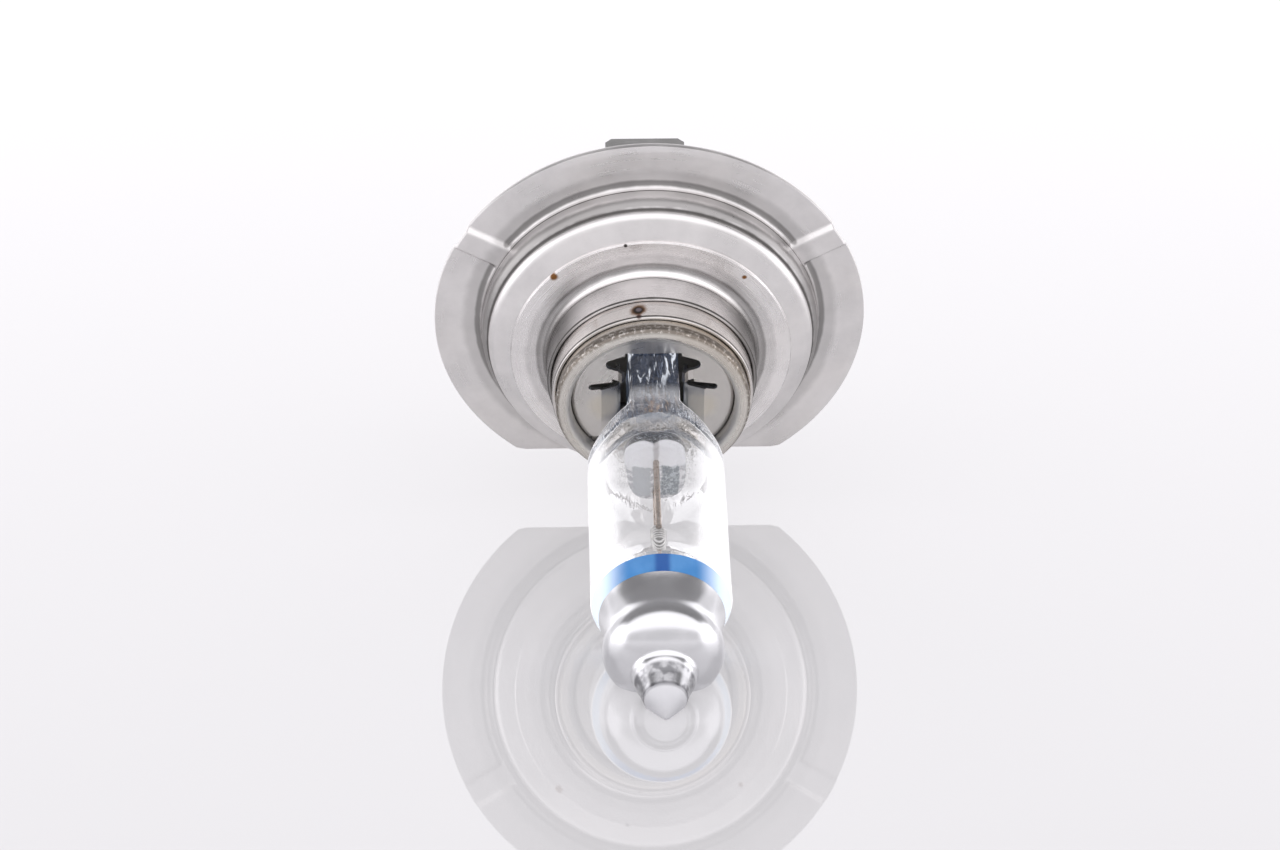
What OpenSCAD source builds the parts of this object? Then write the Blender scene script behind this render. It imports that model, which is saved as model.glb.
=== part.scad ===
// Single-filament halogen headlight bulb with a flanged two-blade cap.
// Row frame: +Y to the connector, -Y to the glass tip, +Z up, with the flange's flat at the bottom.
// Origin: on the lamp axis, in the reference plane that touches the support bosses.
// Inside the modules the lamp axis is z, with z pointing to the glass tip and y pointing up.

/* [Flange] */
// Radius of the flange rim
flange_r = 16.65; // [16:0.05:18]
// Distance from the axis to the flat on the rim
flat_distance = 13.1; // [13.1:0.1:14.5]
// Radius of the raised locating ring
ring_r = 13; // [12.5:0.05:13]
// Thickness of the flange sheet
flange_t = 0.5; // [0.4:0.05:0.7]
// Height of the support bosses over the flange face
boss_h = 0.5; // [0.3:0.05:0.7]
// Width of a support boss at its top
boss_w = 1.5; // [1:0.1:2.5]
// Distance from the reference plane to the inner ledge
ledge_z = 3.35; // [3:0.05:3.6]

/* [Adjusting rings] */
// Outer radius of the collar's disc
collar_disc_r = 10.8; // [10:0.1:11.2]
// Inner radius of the collar
collar_bore_r = 7.68; // [7.66:0.01:7.8]
// Front edge of the collar
collar_front = 6.85; // [6:0.05:7.5]
// Outer radius of the sleeve
sleeve_r = 7.64; // [7.5:0.01:7.65]
// Front edge of the sleeve
sleeve_front = 8.65; // [8:0.05:9]
// Thickness of the collar, sleeve, cup and clip sheet
sheet_t = 0.3; // [0.2:0.05:0.35]

/* [Clamp] */
// Outer radius of the cup's skirt
cup_r = 7.3; // [7:0.02:7.32]
// Radius at the middle of the rolled rim
rim_mid_r = 6.8; // [6.76:0.02:6.9]
// Radius of the roll
rim_roll_r = 0.58; // [0.5:0.02:0.65]
// Front of the rolled rim
rim_front = 10.15; // [9.9:0.05:10.3]
// Front face of the slotted clip plate
plate_front = 9.05; // [8.8:0.05:9.2]

/* [Glass burner] */
// Outer radius of the glass tube
glass_r = 5.1; // [4.8:0.05:5.2]
// Wall of the glass tube
glass_wall = 0.95; // [0.8:0.05:1.1]
// Tip of the exhaust seal
tip_z = 43.6; // [43:0.1:44]
// Start of the dome
dome_start = 31.7; // [31.5:0.1:32]
// Radius of the dome's waist
waist_r = 4.18; // [4.1:0.02:4.3]
// Radius of the dome's bulb, past the waist
bulb_r = 4.32; // [4.2:0.02:4.5]
// Thickness of the pinch
pinch_t = 4.2; // [3.8:0.1:4.2]
// Width of the pinch
pinch_w = 8.7; // [8:0.1:9]
// Rear end of the pinch
pinch_rear = 2; // [1:0.1:3]
// Front end of the pinch
pinch_front = 13.6; // [13:0.1:14]
// Start of the full glass tube
tube_start = 17; // [16.5:0.1:18]
// Start of the blue band
blue_start = 32; // [31.8:0.1:32.2]
// Start of the mirror coating
mirror_start = 33.3; // [33:0.1:33.6]
// Thickness of the coatings
coat_t = 0.04; // [0.02:0.01:0.08]

/* [Filament] */
// Distance from the reference plane to the coil
coil_start = 24.5; // [24:0.1:25.2]
// Length of the coil
coil_len = 4.3; // [4:0.1:4.5]
// Radius at the middle of the coil's wire
coil_r = 0.52; // [0.45:0.01:0.6]
// Diameter of the coil's wire
coil_wire = 0.17; // [0.14:0.01:0.2]
// Number of turns
coil_turns = 17; // [14:1:18]
// Diameter of the inner leads
lead_d = 0.45; // [0.4:0.05:0.6]
// Diameter of the outer leads
outer_lead_d = 0.7; // [0.5:0.05:0.8]
// Height of the lead pair over the axis in the pinch
lead_y = 1.9; // [1.6:0.1:2.1]

/* [Cap rear] */
// Outer radius of the rear shell
shell_r = 10.6; // [10:0.1:11]
// Depth of the rear shell behind the flange
shell_depth = 5.6; // [5:0.1:6]
// Width of a blade
blade_w = 6.3; // [6.2:0.05:6.4]
// Thickness of a blade
blade_t = 0.8; // [0.75:0.05:0.85]
// Height of a blade's middle over the axis
blade_y = 4.6; // [4.2:0.1:5]
// Free end of the blades behind the reference plane
blade_end = 17.4; // [17:0.1:18]
// Rear face of the insulator's block
block_rear = 9.4; // [9:0.1:10]

/* [Hidden] */
$fn = 96;

face_z = -boss_h;
flange_back = face_z - flange_t;
boss_angles = [30, 150, 270];
tab_w = 4.8;
tab_corner = 0.7;
foot_r = 0.7;
ledge_bore_r = 8.75;

cup_back = 4.6;
cup_t = 0.24;
sleeve_back = 1.2;
clip_r = rim_mid_r - rim_roll_r - 0.02;
clip_back = 6.4;
clip_turn_r = 0.35;
pinch_gap = pinch_t / 2 + 0.04;
window_y = pinch_w / 2 + 0.1;
slot_h = 0.55;
upper_slot_y = 1.2;
lower_slot_y = -3.9;
slot_end_x = 4.6;
slot_tilt = 8;
top_slot_r = 8;
top_slot_half = 23;
top_slot_h = 0.9;
tab_root_x = 3.1;
tab_base_y = 1.95;
tab_top_y = 2.85;
tab_gap_y = 3.4;
tongue_root_x = 4;

cavity_r = glass_r - glass_wall;
cavity_back = 15;
cavity_seal_r = 2.7;
cavity_mid = 19.5;
cavity_turn = 31;
cavity_front = 38.4;
nipple_r = 2.35;
neck_r = 1.5;
neck_z = 41.65;
tip_r = 0.16;
waist_z = 35.5;
bulb_z = 36.7;
bulb_len = 2.9;
pinch_dent = 0.2;
pinch_power = 7;

foil_w = 2.4;
foil_t = 0.1;
foil_back = 4.6;
foil_front = 10.6;
foil_lap = 0.9;
foil_x = -lead_d / 2 - foil_t / 2;
outer_lead_x = foil_x + foil_t / 2 + outer_lead_d / 2;

insulator_front = -2.4;
insulator_back = flange_back - shell_depth + 0.4;
insulator_r = shell_r - 0.45;
shell_step_z = -2.7;
blade_shoulder = -3.4;
key_w = 3;
key_depth = 1.2;
shell_t = 0.35;
shell_front = 0.4;
shell_front_r = ring_r - flange_t - 0.05;
shell_back = flange_back - shell_depth;
shell_mouth_r = 8.95;
block_w = 10.4;
block_h = 14;
block_corner = 1.2;
terminal_front = -0.9;
terminal_neck_w = 3.4;
weld_y = 2.9;

// Turns the modules' axis frame into the row frame
module on_axis() rotate([90, 0, 0]) children();

// ---- Outlines and sweeps ----

// Points of an arc about c, from angle a0 to a1
function arc(c, r, a0, a1, n = 8) = [for (i = [0:n])
  let (a = a0 + (a1 - a0) * i / n) c + r * [cos(a), sin(a)]];

// Unit normal on the left of the way from p to q
function left_of(p, q) = let (d = q - p) [-d[1], d[0]] / norm(d);

// Mitre vector of an open path at its point i
function mitre(path, i) = let (
  last = len(path) - 1,
  before = left_of(path[max(i - 1, 0)], path[max(i, 1)]),
  after = left_of(path[min(i, last - 1)], path[min(i + 1, last)]),
  s = before + after) 2 * s / (s * s);

// Closed outline of a sheet that is t thick, on the left of a path
function sheet(path, t) = concat(path,
  [for (i = [len(path) - 1:-1:0]) path[i] + t * mitre(path, i)]);

// The path with each corner cut back by r and rounded
function rounded(path, r, n = 5) = [for (i = [0:len(path) - 1])
  if (i == 0 || i == len(path) - 1) path[i]
  else let (
    p = path[i] + r * (path[i - 1] - path[i]) / norm(path[i - 1] - path[i]),
    q = path[i] + r * (path[i + 1] - path[i]) / norm(path[i + 1] - path[i]))
    each [for (k = [0:n]) let (u = k / n) p * (1 - u) ^ 2 + 2 * path[i] * u * (1 - u) + q * u ^ 2]];

// Closed skin over a list of rings that all have the same number of points
module skin(rings) {
  n = len(rings[0]);
  last = len(rings) - 1;
  polyhedron(
    points = [for (ring = rings) each ring],
    faces = concat(
      [[for (k = [0:n - 1]) k]],
      [for (i = [0:last - 1]) for (k = [0:n - 1]) let (a = i * n, b = a + n, m = (k + 1) % n)
        each [[a + k, b + k, a + m], [a + m, b + k, b + m]]],
      [[for (k = [n - 1:-1:0]) last * n + k]]));
}

// Round wire of diameter d along a path of [y, z] points at one x
module wire(path, d, x = 0, sides = 12) skin([for (i = [0:len(path) - 1])
  let (side = mitre(path, i))
  [for (k = [0:sides - 1]) let (a = 360 * k / sides, c = path[i] + d / 2 * cos(a) * side)
    [x + d / 2 * sin(a), c[0], c[1]]]]);

// ---- Flange ----

root_r = 0.6;
wall_top_z = 0.7;
wall_turn_r = 1.6;
wall_turn = 42;
seam_step = 0.1;
step_r = ring_r - wall_turn_r * (1 - cos(wall_turn)) - seam_step;
step_z = wall_top_z + wall_turn_r * sin(wall_turn) + 0.05;
step_h = 0.2;
shoulder_r = 0.9;
shoulder_turn = 65;
shoulder_lead = 8;
shoulder_c = [step_r - shoulder_r * cos(shoulder_lead), step_z + step_h - shoulder_r * sin(shoulder_lead)];
ledge_turn_r = 0.8;
shoulder_end = shoulder_c + shoulder_r * [cos(shoulder_turn), sin(shoulder_turn)];
ledge_turn_z = ledge_z - ledge_turn_r * (1 - sin(shoulder_turn));
ledge_turn_x = shoulder_end[0] - (ledge_turn_z - shoulder_end[1]) * tan(shoulder_turn);

// Front of the flange as [radius, z]: rim, wall of the locating ring, a small step, shoulder, ledge
flange_path = concat(
  [[flange_r, face_z]],
  arc([ring_r + root_r, face_z + root_r], root_r, 270, 180, 4),
  arc([ring_r - wall_turn_r, wall_top_z], wall_turn_r, 0, wall_turn, 6),
  [[step_r, step_z]],
  arc(shoulder_c, shoulder_r, shoulder_lead, shoulder_turn, 6),
  arc([ledge_turn_x - ledge_turn_r * cos(shoulder_turn), ledge_z - ledge_turn_r],
    ledge_turn_r, shoulder_turn, 90, 4),
  [[ledge_bore_r, ledge_z]]);

// Radial bar with the section of a support boss, from radius r0 to r1
module boss_bar(angle, r0, r1) rotate([0, 0, angle]) translate([r0, 0, 0])
  rotate([90, 0, 90]) linear_extrude(r1 - r0) polygon([
    [-boss_w / 2 - boss_h, face_z - 0.1], [-boss_w / 2, 0],
    [boss_w / 2, 0], [boss_w / 2 + boss_h, face_z - 0.1]]);

// What stays of the round rim: all above the flat, and the locating tab in the flat's middle
module rim_outline() {
  translate([-flange_r - 1, -flat_distance]) square([2 * flange_r + 2, 2 * flange_r]);
  translate([-tab_w / 2, -flange_r + tab_corner]) square([tab_w, flange_r]);
  translate([-tab_w / 2 + tab_corner, -flange_r]) square([tab_w - 2 * tab_corner, flange_r]);
  for (s = [-1, 1]) translate([s * (tab_w / 2 - tab_corner), -flange_r + tab_corner]) circle(r = tab_corner);
}

module base_flange() color([0.74, 0.73, 0.72]) on_axis() difference() {
  intersection() {
    union() {
      rotate_extrude() polygon(sheet(flange_path, flange_t));
      for (a = boss_angles) boss_bar(a, ring_r - 0.2, flange_r + 1);
    }
    cylinder(r = flange_r, h = 4 * ledge_z, center = true);
    translate([0, 0, -2 * ledge_z]) linear_extrude(4 * ledge_z) rim_outline();
  }
  for (a = boss_angles) translate([0, 0, -flange_t]) boss_bar(a, ring_r + root_r + 0.3, flange_r + 1);
}

// ---- Adjusting rings ----

// Disc on the flange's ledge, a rounded foot, and a tube that grips the sleeve
collar_path = concat(
  [[collar_disc_r, ledge_z + sheet_t]],
  arc([collar_bore_r + sheet_t + foot_r, ledge_z + sheet_t + foot_r], foot_r, 270, 180, 6),
  [[collar_bore_r + sheet_t, collar_front]]);

module focus_collar() color([0.77, 0.76, 0.75]) on_axis()
  rotate_extrude() polygon(sheet(collar_path, sheet_t));

module focus_sleeve() color([0.72, 0.71, 0.7]) on_axis() difference() {
  translate([0, 0, sleeve_back]) cylinder(r = sleeve_r, h = sleeve_front - sleeve_back);
  translate([0, 0, sleeve_back - 1]) cylinder(r = sleeve_r - sheet_t, h = sleeve_front - sleeve_back + 2);
}

// ---- Clamp ----

rim_z = rim_front - rim_roll_r;

// Skirt in the sleeve, then the rim rolled out and over
cup_path = concat(
  [[cup_r, cup_back], [cup_r, rim_z - 0.55]],
  arc([rim_mid_r, rim_z], rim_roll_r, -20, 180, 14),
  [[rim_mid_r - rim_roll_r, rim_z - 0.75]]);

module clamp_cup() color([0.66, 0.63, 0.58]) on_axis() rotate_extrude() polygon(sheet(cup_path, cup_t));

// Slot with round ends, from x0 to x1 at height y
module slot(x0, x1, y, h) {
  translate([x0, y - h / 2]) square([x1 - x0, h]);
  for (x = [x0, x1]) translate([x, y]) circle(d = h);
}

// The children, and their mirror image in the vertical plane
module both_sides() {
  children();
  mirror([1, 0, 0]) children();
}

// Slot with round ends along an arc about c, from angle a0 to a1
module arc_slot(c, r, a0, a1, h) {
  polygon(concat(arc(c, r + h / 2, a0, a1, 12), arc(c, r - h / 2, a1, a0, 12)));
  for (a = [a0, a1]) translate(c + r * [cos(a), sin(a)]) circle(d = h);
}

// Openings in the face plate: the pinch's window, the arched top slot, and the slots beside the tongues
module clip_openings() {
  translate([-pinch_gap, -window_y]) square([2 * pinch_gap, 2 * window_y]);
  arc_slot([0, window_y - top_slot_h / 2 - top_slot_r], top_slot_r,
    90 - top_slot_half, 90 + top_slot_half, top_slot_h);
  both_sides() {
    translate([slot_end_x, upper_slot_y]) rotate([0, 0, -slot_tilt])
      slot(pinch_gap - slot_end_x, 0, 0, slot_h);
    slot(pinch_gap, slot_end_x, lower_slot_y, slot_h);
    translate([0, lower_slot_y]) square([tongue_root_x, upper_slot_y + slot_h / 2 - lower_slot_y]);
    translate([0, upper_slot_y]) square([tab_root_x, tab_gap_y - upper_slot_y]);
  }
}

// Bent strip of the clip's sheet along a path of [x, z] points, from y0 to y1
module strip(path, y0, y1) translate([0, y1, 0]) rotate([90, 0, 0])
  linear_extrude(y1 - y0) polygon(sheet(path, sheet_t));

grip_x = pinch_gap + sheet_t;
tongue_path = [[tongue_root_x + 0.2, plate_front], [tongue_root_x - 0.1, plate_front],
  [grip_x + 0.25, plate_front - 0.5], [grip_x, plate_front - 1.1], [grip_x, plate_front - 3]];
tab_path = [[tab_root_x + 0.2, plate_front], [tab_root_x - 0.1, plate_front],
  [grip_x + 0.2, plate_front + 0.15], [grip_x - 0.05, plate_front + 0.45]];

// Skirt and face plate of the clip
clip_path = concat([[clip_r, clip_back]],
  arc([clip_r - clip_turn_r, plate_front - clip_turn_r], clip_turn_r, 0, 90, 5),
  [[0, plate_front]]);

module pinch_clip() color([0.69, 0.68, 0.66]) on_axis() {
  difference() {
    rotate_extrude() polygon(sheet(clip_path, sheet_t));
    translate([0, 0, plate_front - 2 * sheet_t]) linear_extrude(4 * sheet_t) clip_openings();
  }
  both_sides() {
    strip(tongue_path, lower_slot_y + slot_h / 2, upper_slot_y - slot_h / 2);
    strip(tab_path, tab_base_y, tab_top_y);
  }
}

// ---- Glass burner ----

// Smooth step from 0 to 1
function ease(u) = let (v = min(max(u, 0), 1)) v * v * (3 - 2 * v);

// Outside of the glass as [radius, z], from the dome's shoulder over its waist and bulb to the tip
function shoulder_share(z) = (1 - min(max((z - dome_start) / (waist_z - dome_start), 0), 1)) ^ 2;
function dome_radius(z) = z < waist_z ? waist_r + (glass_r - waist_r) * shoulder_share(z)
  : z < bulb_z ? waist_r + (bulb_r - waist_r) * ease((z - waist_z) / (bulb_z - waist_z))
  : bulb_r * sqrt(1 - ((z - bulb_z) / bulb_len) ^ 2);
function dome_points(z0, z1, n) = [for (i = [0:n]) let (z = z0 + (z1 - z0) * i / n) [dome_radius(z), z]];
nipple_z = bulb_z + bulb_len * sqrt(1 - (nipple_r / bulb_r) ^ 2);
nipple_path = rounded([[nipple_r, nipple_z], [nipple_r - 0.15, nipple_z + 0.6],
  [nipple_r - 0.5, nipple_z + 1.4], [neck_r, neck_z], [tip_r, tip_z - tip_r / 2]], 0.12, 3);

// Section of the glass at z: a dented flat pinch that swells into the round tube
function glass_ring(z, sides) = let (
  u = ease((z - pinch_front) / (tube_start - pinch_front)),
  half_t = pinch_t / 2 + (glass_r - pinch_t / 2) * u,
  half_w = pinch_w / 2 + (glass_r - pinch_w / 2) * u,
  power = 2 / (pinch_power + (2 - pinch_power) * sqrt(u)),
  dent = pinch_dent * (1 - u))
  [for (k = [0:sides - 1]) let (
    a = -360 * (k + 0.5) / sides,
    c = sign(cos(a)) * abs(cos(a)) ^ power,
    s = sign(sin(a)) * abs(sin(a)) ^ power)
    [half_t * c * (1 - dent * (1 - s * s)), half_w * s, z]];

function round_ring(p, sides) = [for (k = [0:sides - 1]) let (a = -360 * (k + 0.5) / sides)
  [p[0] * cos(a), p[0] * sin(a), p[1]]];

glass_sides = 48;

module glass_outside() skin(concat(
  [for (i = [0:1]) glass_ring(pinch_rear + (pinch_front - pinch_rear) * i, glass_sides)],
  [for (i = [1:12]) glass_ring(pinch_front + (tube_start - pinch_front) * i / 12, glass_sides)],
  [for (p = dome_points(dome_start - 0.3, nipple_z - 0.05, 24)) round_ring(p, glass_sides)],
  [for (p = nipple_path) round_ring(p, glass_sides)]));

// Gas space inside the tube
module glass_cavity() rotate_extrude() polygon(concat(
  rounded([[0, cavity_back], [cavity_seal_r, cavity_back], [cavity_r, cavity_mid],
    [cavity_r, cavity_turn - 1]], 0.9),
  [for (i = [0:12]) let (a = 90 * i / 12)
    [cavity_r * cos(a), cavity_turn + (cavity_front - cavity_turn) * sin(a)]]));

module burner_glass() color([0.85, 0.92, 0.97, 0.4]) on_axis() difference() {
  glass_outside();
  glass_cavity();
  for (s = [-1, 1]) {
    foil(s);
    outer_lead(s);
  }
  short_lead();
  long_lead();
}

// Coating on the outside of the glass between two stations
module coating(path) rotate_extrude() polygon(sheet(path, -coat_t));

module blue_band() color([0.3, 0.55, 0.85, 0.7]) on_axis()
  coating(dome_points(blue_start, mirror_start - 0.02, 4));

module silver_cap() color([0.82, 0.82, 0.84]) on_axis()
  coating(concat(dome_points(mirror_start, nipple_z - 0.05, 18), nipple_path, [[0, tip_z - tip_r / 4]]));

// ---- Filament, leads and foils ----

coil_steps = 14;
coil_pitch = coil_len / coil_turns;

module coil() {
  rise = coil_pitch / (2 * PI * coil_r);
  skin([for (i = [0:coil_turns * coil_steps]) let (
    a = 90 + 360 * i / coil_steps,
    out = [cos(a), sin(a), 0],
    along = [-sin(a), cos(a), rise] / sqrt(1 + rise ^ 2),
    across = cross(out, along),
    c = coil_r * out + [0, 0, coil_start + coil_pitch * i / coil_steps])
    [for (k = [0:5]) c + coil_wire / 2 * (cos(60 * k) * out + sin(60 * k) * across)]]);
}

module filament() color([0.45, 0.44, 0.43]) on_axis() coil();

over_coil = coil_r + coil_wire / 2 + lead_d / 2;

// Bends towards the axis inside the pinch and is welded on top of the first turn
module short_lead() wire(rounded([[lead_y, foil_front - foil_lap], [lead_y, foil_front + 0.8],
  [over_coil, foil_front + 3.4], [over_coil, coil_start + 0.5]], 0.7), lead_d);

// Passes under the coil, turns up past its far end, and comes back over the last turn
loop_y = -3;
loop_z = coil_start + coil_len + 1.4;
module long_lead() wire(rounded([[-lead_y, foil_front - foil_lap], [-lead_y, coil_start - 7],
  [loop_y, coil_start - 5], [loop_y, loop_z], [over_coil, loop_z],
  [over_coil, coil_start + coil_len - 0.5]], 0.6), lead_d);

module lead_short() color([0.6, 0.57, 0.52]) on_axis() short_lead();
module lead_long() color([0.6, 0.57, 0.52]) on_axis() long_lead();

module foil(side) translate([foil_x - foil_t / 2, side * lead_y - foil_w / 2, foil_back])
  cube([foil_t, foil_w, foil_front - foil_back]);

module foil_upper() color([0.55, 0.53, 0.5]) on_axis() foil(1);
module foil_lower() color([0.55, 0.53, 0.5]) on_axis() foil(-1);

// From the foil, out of the pinch and across to the terminal's foot
module outer_lead(side) wire(rounded([[side * lead_y, foil_back + foil_lap], [side * lead_y, 0.9],
  [side * weld_y, 0.1], [side * weld_y, terminal_front]], 0.4), outer_lead_d, outer_lead_x);

module outer_lead_upper() color([0.58, 0.56, 0.53]) on_axis() outer_lead(1);
module outer_lead_lower() color([0.58, 0.56, 0.53]) on_axis() outer_lead(-1);

// ---- Cap rear ----

// Blade with chamfered end, a narrow neck in the insulator, and a foot for the lead's weld
blade_chamfer = 0.5;
module terminal(side) translate([0, side * blade_y, 0]) {
  rotate([90, 0, 0]) linear_extrude(blade_t, center = true) polygon([
    [-blade_w / 2 + blade_chamfer, -blade_end], [blade_w / 2 - blade_chamfer, -blade_end],
    [blade_w / 2, -blade_end + blade_chamfer], [blade_w / 2, blade_shoulder],
    [terminal_neck_w / 2, blade_shoulder], [terminal_neck_w / 2, terminal_front],
    [-terminal_neck_w / 2, terminal_front], [-terminal_neck_w / 2, blade_shoulder],
    [-blade_w / 2, blade_shoulder], [-blade_w / 2, -blade_end + blade_chamfer]]);
  foot_reach = blade_y - weld_y + outer_lead_d;
  translate([-terminal_neck_w / 2, side > 0 ? -foot_reach : 0, terminal_front - blade_t])
    cube([terminal_neck_w, foot_reach, blade_t]);
}

module terminal_upper() color([0.72, 0.72, 0.7]) on_axis() terminal(1);
module terminal_lower() color([0.72, 0.72, 0.7]) on_axis() terminal(-1);

module rounded_rect(w, h, r) for (s = [-1, 1]) {
  square([w - 2 * r, h], center = true);
  square([w, h - 2 * r], center = true);
  for (t = [-1, 1]) translate([s * (w / 2 - r), t * (h / 2 - r)]) circle(r = r);
}

module insulator() color([0.86, 0.84, 0.79]) on_axis() difference() {
  union() {
    translate([0, 0, insulator_back]) cylinder(r = insulator_r, h = insulator_front - insulator_back);
    translate([0, 0, -block_rear]) linear_extrude(block_rear + insulator_front - 0.5)
      rounded_rect(block_w, block_h, block_corner);
  }
  for (s = [-1, 1]) translate([0, s * blade_y, 0]) {
    translate([0, 0, -block_rear - 1]) linear_extrude(block_rear + 1 + blade_shoulder)
      square([blade_w + 0.1, blade_t + 0.1], center = true);
    translate([0, 0, -block_rear - 1]) linear_extrude(block_rear + 2)
      square([terminal_neck_w + 0.1, blade_t + 0.1], center = true);
  }
  translate([0, 0, -block_rear - 1]) linear_extrude(key_depth + 1)
    square([block_w + 1, key_w], center = true);
}

// Outside of the rear shell, from the mouth that holds the insulator to the edge inside the ring
shell_turn_r = 0.8;
shell_path = concat(
  [[shell_mouth_r, shell_back]],
  arc([shell_r - shell_turn_r, shell_back + shell_turn_r], shell_turn_r, 270, 360, 6),
  arc([shell_r + 0.5, shell_step_z], 0.5, 180, 90, 4),
  arc([shell_front_r - 0.6, shell_step_z + 1.1], 0.6, 270, 360, 4),
  [[shell_front_r, shell_front]]);

module rear_shell() color([0.75, 0.74, 0.72]) on_axis() rotate_extrude() polygon(sheet(shell_path, shell_t));

base_flange();
focus_collar();
focus_sleeve();
clamp_cup();
pinch_clip();
burner_glass();
silver_cap();
blue_band();
filament();
lead_short();
lead_long();
foil_upper();
foil_lower();
outer_lead_upper();
outer_lead_lower();
terminal_upper();
terminal_lower();
insulator();
rear_shell();
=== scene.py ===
import math

import bmesh
import bpy
from mathutils import Matrix, Vector


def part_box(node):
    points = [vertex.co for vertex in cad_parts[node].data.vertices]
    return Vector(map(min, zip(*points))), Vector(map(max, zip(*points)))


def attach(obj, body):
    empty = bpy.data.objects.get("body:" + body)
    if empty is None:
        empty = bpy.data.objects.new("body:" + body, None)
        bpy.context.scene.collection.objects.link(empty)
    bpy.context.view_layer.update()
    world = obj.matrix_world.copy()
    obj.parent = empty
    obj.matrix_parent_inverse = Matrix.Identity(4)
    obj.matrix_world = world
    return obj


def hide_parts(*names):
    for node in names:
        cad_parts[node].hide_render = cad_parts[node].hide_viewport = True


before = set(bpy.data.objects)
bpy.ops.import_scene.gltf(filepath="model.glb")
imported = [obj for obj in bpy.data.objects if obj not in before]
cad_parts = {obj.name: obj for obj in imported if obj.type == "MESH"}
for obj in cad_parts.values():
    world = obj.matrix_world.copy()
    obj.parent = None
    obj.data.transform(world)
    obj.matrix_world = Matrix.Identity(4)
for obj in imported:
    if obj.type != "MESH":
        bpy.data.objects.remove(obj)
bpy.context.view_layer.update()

MM = 0.001
TAU = 2 * math.pi

# ---- Driving sizes in mm, on the lamp axis frame: radius, and z ahead of the reference plane ----
# They repeat part.scad's, and each piece that replaces a CAD node keeps inside that node's box. Only the
# seal's plug, from SEAL_BACK to SEAL_FRONT, is an extra piece.

RIM_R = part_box("base_flange")[1].x / MM
FLAT = 13.1
RING_R = 13.0
SHEET_T = 0.3
FLANGE_T = 0.5
BOSS_H = 0.5
BOSS_W = 1.5
BOSS_ANGLES = (30, 150, 270)
TAB_W = 4.8
TAB_CORNER = 0.7
FACE_Z = -BOSS_H
LEDGE_Z = 3.35
LEDGE_BORE_R = 8.75
DISC_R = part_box("focus_collar")[1].x / MM
DISC_Z = LEDGE_Z + SHEET_T
COLLAR_BORE_R = 7.68
TUBE_R = COLLAR_BORE_R + SHEET_T
COLLAR_FRONT = -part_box("focus_collar")[0].y / MM
SLEEVE_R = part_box("focus_sleeve")[1].x / MM
SLEEVE_BACK = -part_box("focus_sleeve")[1].y / MM
SLEEVE_FRONT = -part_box("focus_sleeve")[0].y / MM
CUP_BACK = -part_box("clamp_cup")[1].y / MM
CUP_R = 7.3
CUP_T = 0.24
RIM_MID_R = 6.8
RIM_ROLL_R = 0.58
RIM_FRONT = -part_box("clamp_cup")[0].y / MM
GLASS_R = 5.1
SEAL_BACK = 15.6
SEAL_FRONT = 17.9
TIP_Z = -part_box("burner_glass")[0].y / MM
COIL_START, COIL_LEN, COIL_TURNS = 24.5, 4.3, 17
COIL_R, COIL_WIRE = 0.52, 0.17
NECK_Z = 41.65


# ---- Mesh helpers ----

def place(x, up, ahead):
    """A point of the lamp axis frame, in mm, as a point of the row frame, in metres."""
    return Vector((x, -ahead, up)) * MM


def arc(centre, r, a0, a1, n=12):
    """Points of an arc in a section, angles in degrees."""
    return [(centre[0] + r * math.cos(math.radians(a0 + (a1 - a0) * i / n)),
             centre[1] + r * math.sin(math.radians(a0 + (a1 - a0) * i / n))) for i in range(n + 1)]


def left_of(p, q):
    """Unit vector to the left of the way from p to q."""
    d = math.hypot(q[0] - p[0], q[1] - p[1])
    return (-(q[1] - p[1]) / d, (q[0] - p[0]) / d)


def mitres(path):
    """Mitre vector, to the left of an open path, at each of its points."""
    sides = [left_of(p, q) for p, q in zip(path, path[1:])]
    out = []
    for before, after in zip([sides[0]] + sides, sides + [sides[-1]]):
        s = (before[0] + after[0], before[1] + after[1])
        k = 2 / (s[0] ** 2 + s[1] ** 2)
        out.append((s[0] * k, s[1] * k))
    return out


def sheet(path, t, edge=0.3):
    """Closed section of a sheet that is t thick, left of a path, with its two edges rounded by edge * t."""
    m = mitres(path)
    e = edge * t

    def side(depth):
        return [(p[0] + depth * v[0], p[1] + depth * v[1]) for p, v in zip(path, m)]

    def trimmed(pts, cut):
        first, last = pts[0], pts[-1]
        a = left_of(pts[0], pts[1])
        b = left_of(pts[-2], pts[-1])
        return ([(first[0] + cut * a[1], first[1] - cut * a[0])] + pts[1:-1]
                + [(last[0] - cut * b[1], last[1] + cut * b[0])])

    front, back = side(0), side(t)
    near, far = side(e), side(t - e)
    return (trimmed(front, e) + [near[-1], far[-1]] + trimmed(back, e)[::-1] + [far[0], near[0]])


def finish_mesh(name, bm, sharp=35):
    """Turns a bmesh in mm into a shaded object in the row frame."""
    bmesh.ops.remove_doubles(bm, verts=bm.verts, dist=1e-5)
    bmesh.ops.recalc_face_normals(bm, faces=bm.faces)
    mesh = bpy.data.meshes.new(name)
    bm.to_mesh(mesh)
    bm.free()
    mesh.transform(Matrix(((MM, 0, 0, 0), (0, 0, -MM, 0), (0, MM, 0, 0), (0, 0, 0, 1))))
    mesh.shade_smooth()
    mesh.set_sharp_from_angle(angle=math.radians(sharp))
    piece = bpy.data.objects.new(name, mesh)
    bpy.context.scene.collection.objects.link(piece)
    return piece


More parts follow.
